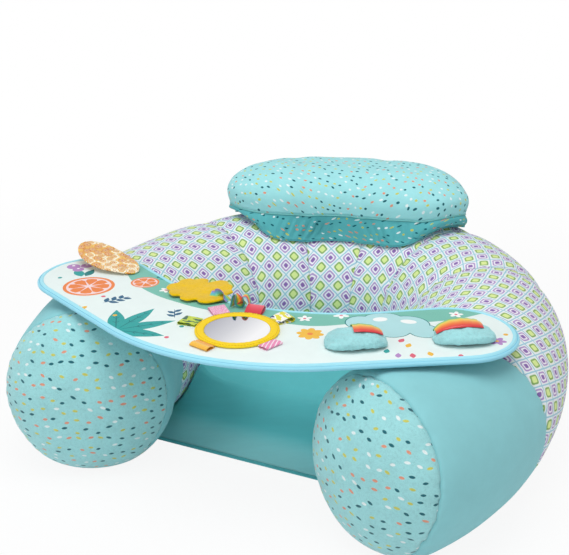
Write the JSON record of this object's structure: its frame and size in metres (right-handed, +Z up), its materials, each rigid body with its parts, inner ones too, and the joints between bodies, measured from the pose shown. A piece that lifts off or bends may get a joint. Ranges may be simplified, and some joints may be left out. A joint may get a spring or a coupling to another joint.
{
  "type": "baby floor seat",
  "caption": "Inflatable C-shaped baby floor seat with a fabric cover, a seat cushion between its arms, a head pillow on the rim and a play tray with toys across the arms.",
  "frame": {"origin": "on the floor, under the middle of the whole seat's outline", "axes": "+X to the sitter's left, -Y out of the open front, +Z up"},
  "size_m": [0.7262, 0.6996, 0.3297],
  "materials": {
    "chamber_film": "satin",
    "foam": "matte",
    "plain_cover": "matte",
    "plush_cover": "matte",
    "lattice_print": "matte",
    "zip_tape": "matte",
    "zip_plastic": "satin",
    "zip_metal": "satin",
    "hook_loop": "matte",
    "confetti_print": "matte",
    "tray_print": "matte",
    "tray_backing": "matte",
    "board": "matte",
    "piping": "satin",
    "mirror_film": "polished",
    "yellow_fabric": "matte",
    "ribbon_lime": "satin",
    "ribbon_pink": "satin",
    "ribbon_red": "satin",
    "ribbon_yellow": "satin",
    "ribbon_orange": "satin",
    "rainbow_satin": "satin",
    "crinkle_print": "matte",
    "crackle_film": "glossy",
    "leaf_felt": "matte",
    "plush_flap": "matte"
  },
  "bodies": {
    "seat": {"air_chamber": "chamber_film", "valve_body": "zip_plastic", "valve_plug": "zip_plastic", "seat_pad": "foam", "base_panel": "plain_cover", "seat_cover": "plain_cover", "side_panel_left": "plain_cover", "side_panel_right": "plain_cover", "arm_end_left": "plush_cover", "arm_end_right": "plush_cover", "rim_arm_left": "lattice_print", "rim_shoulder_left": "lattice_print", "rim_back_left": "lattice_print", "rim_back_right": "lattice_print", "rim_shoulder_right": "lattice_print", "rim_arm_right": "lattice_print", "zip_tape_upper": "zip_tape", "zip_tape_lower": "zip_tape", "zip_teeth": "zip_plastic", "arm_patch_left": "hook_loop", "arm_patch_right": "hook_loop", "rim_strip": "hook_loop"},
    "pillow": {"pillow_fill": "foam", "pillow_top": "confetti_print", "pillow_band": "confetti_print", "pillow_base": "confetti_print", "pillow_strip": "hook_loop"},
    "tray": {"tray_board": "board", "tray_top": "tray_print", "tray_underside": "tray_backing", "tray_piping": "piping", "tray_patches": "hook_loop", "mirror_plate": "mirror_film", "mirror_frame": "yellow_fabric", "tag_lime": "ribbon_lime", "tag_pink_rear": "ribbon_pink", "tag_red": "ribbon_red", "tag_yellow": "ribbon_yellow", "tag_orange": "ribbon_orange", "tag_pink_front": "ribbon_pink", "ribbon_loop": "rainbow_satin"},
    "crinkle_flap": {"crinkle_top": "crinkle_print", "crinkle_film": "crackle_film", "crinkle_back": "crinkle_print"},
    "leaf": {"leaf_flap": "leaf_felt", "leaf_ribbon": "rainbow_satin"},
    "left_plush_flap": {"plush_flap_left": "plush_flap", "plush_lining_left": "rainbow_satin"},
    "right_plush_flap": {"plush_flap_right": "plush_flap", "plush_lining_right": "rainbow_satin"},
    "zip_slider": {"zip_slider": "zip_metal"},
    "zip_pull": {"zip_pull": "zip_metal"}
  },
  "joints": [
    {"name": "tray_lift", "type": "slide", "parent": "seat", "child": "tray", "axis": [0, 0, 1], "range_m": [0, 0.12]},
    {"name": "pillow_lift", "type": "slide", "parent": "seat", "child": "pillow", "axis": [0, 0, 1], "range_m": [0, 0.1]},
    {"name": "crinkle_flap_hinge", "type": "hinge", "parent": "tray", "child": "crinkle_flap", "pos_m": [-0.20216, -0.15496, 0.23433], "axis": [0.2164, 0.9763, 0], "range_deg": [-7, 80]},
    {"name": "leaf_hinge", "type": "hinge", "parent": "tray", "child": "leaf", "pos_m": [-0.03995, -0.18611, 0.23523], "axis": [-0.0087, 1, 0], "range_deg": [0, 105]},
    {"name": "left_plush_hinge", "type": "hinge", "parent": "tray", "child": "left_plush_flap", "pos_m": [0.23101, -0.19358, 0.23433], "axis": [0.5075, -0.8616, 0], "range_deg": [0, 80]},
    {"name": "right_plush_hinge", "type": "hinge", "parent": "tray", "child": "right_plush_flap", "pos_m": [0.18475, -0.22346, 0.23433], "axis": [-0.5075, 0.8616, 0], "range_deg": [0, 80]},
    {"name": "zip_run", "type": "hinge", "parent": "seat", "child": "zip_slider", "pos_m": [0, 0.02606, 0.06633], "axis": [0, 0, 1], "range_deg": [-65.42, 0]},
    {"name": "zip_pull_hinge", "type": "hinge", "parent": "zip_slider", "child": "zip_pull", "pos_m": [-0.17069, 0.29181, 0.06302], "axis": [-0.8414, -0.5404, 0], "range_deg": [-130, 15]}
  ]
}
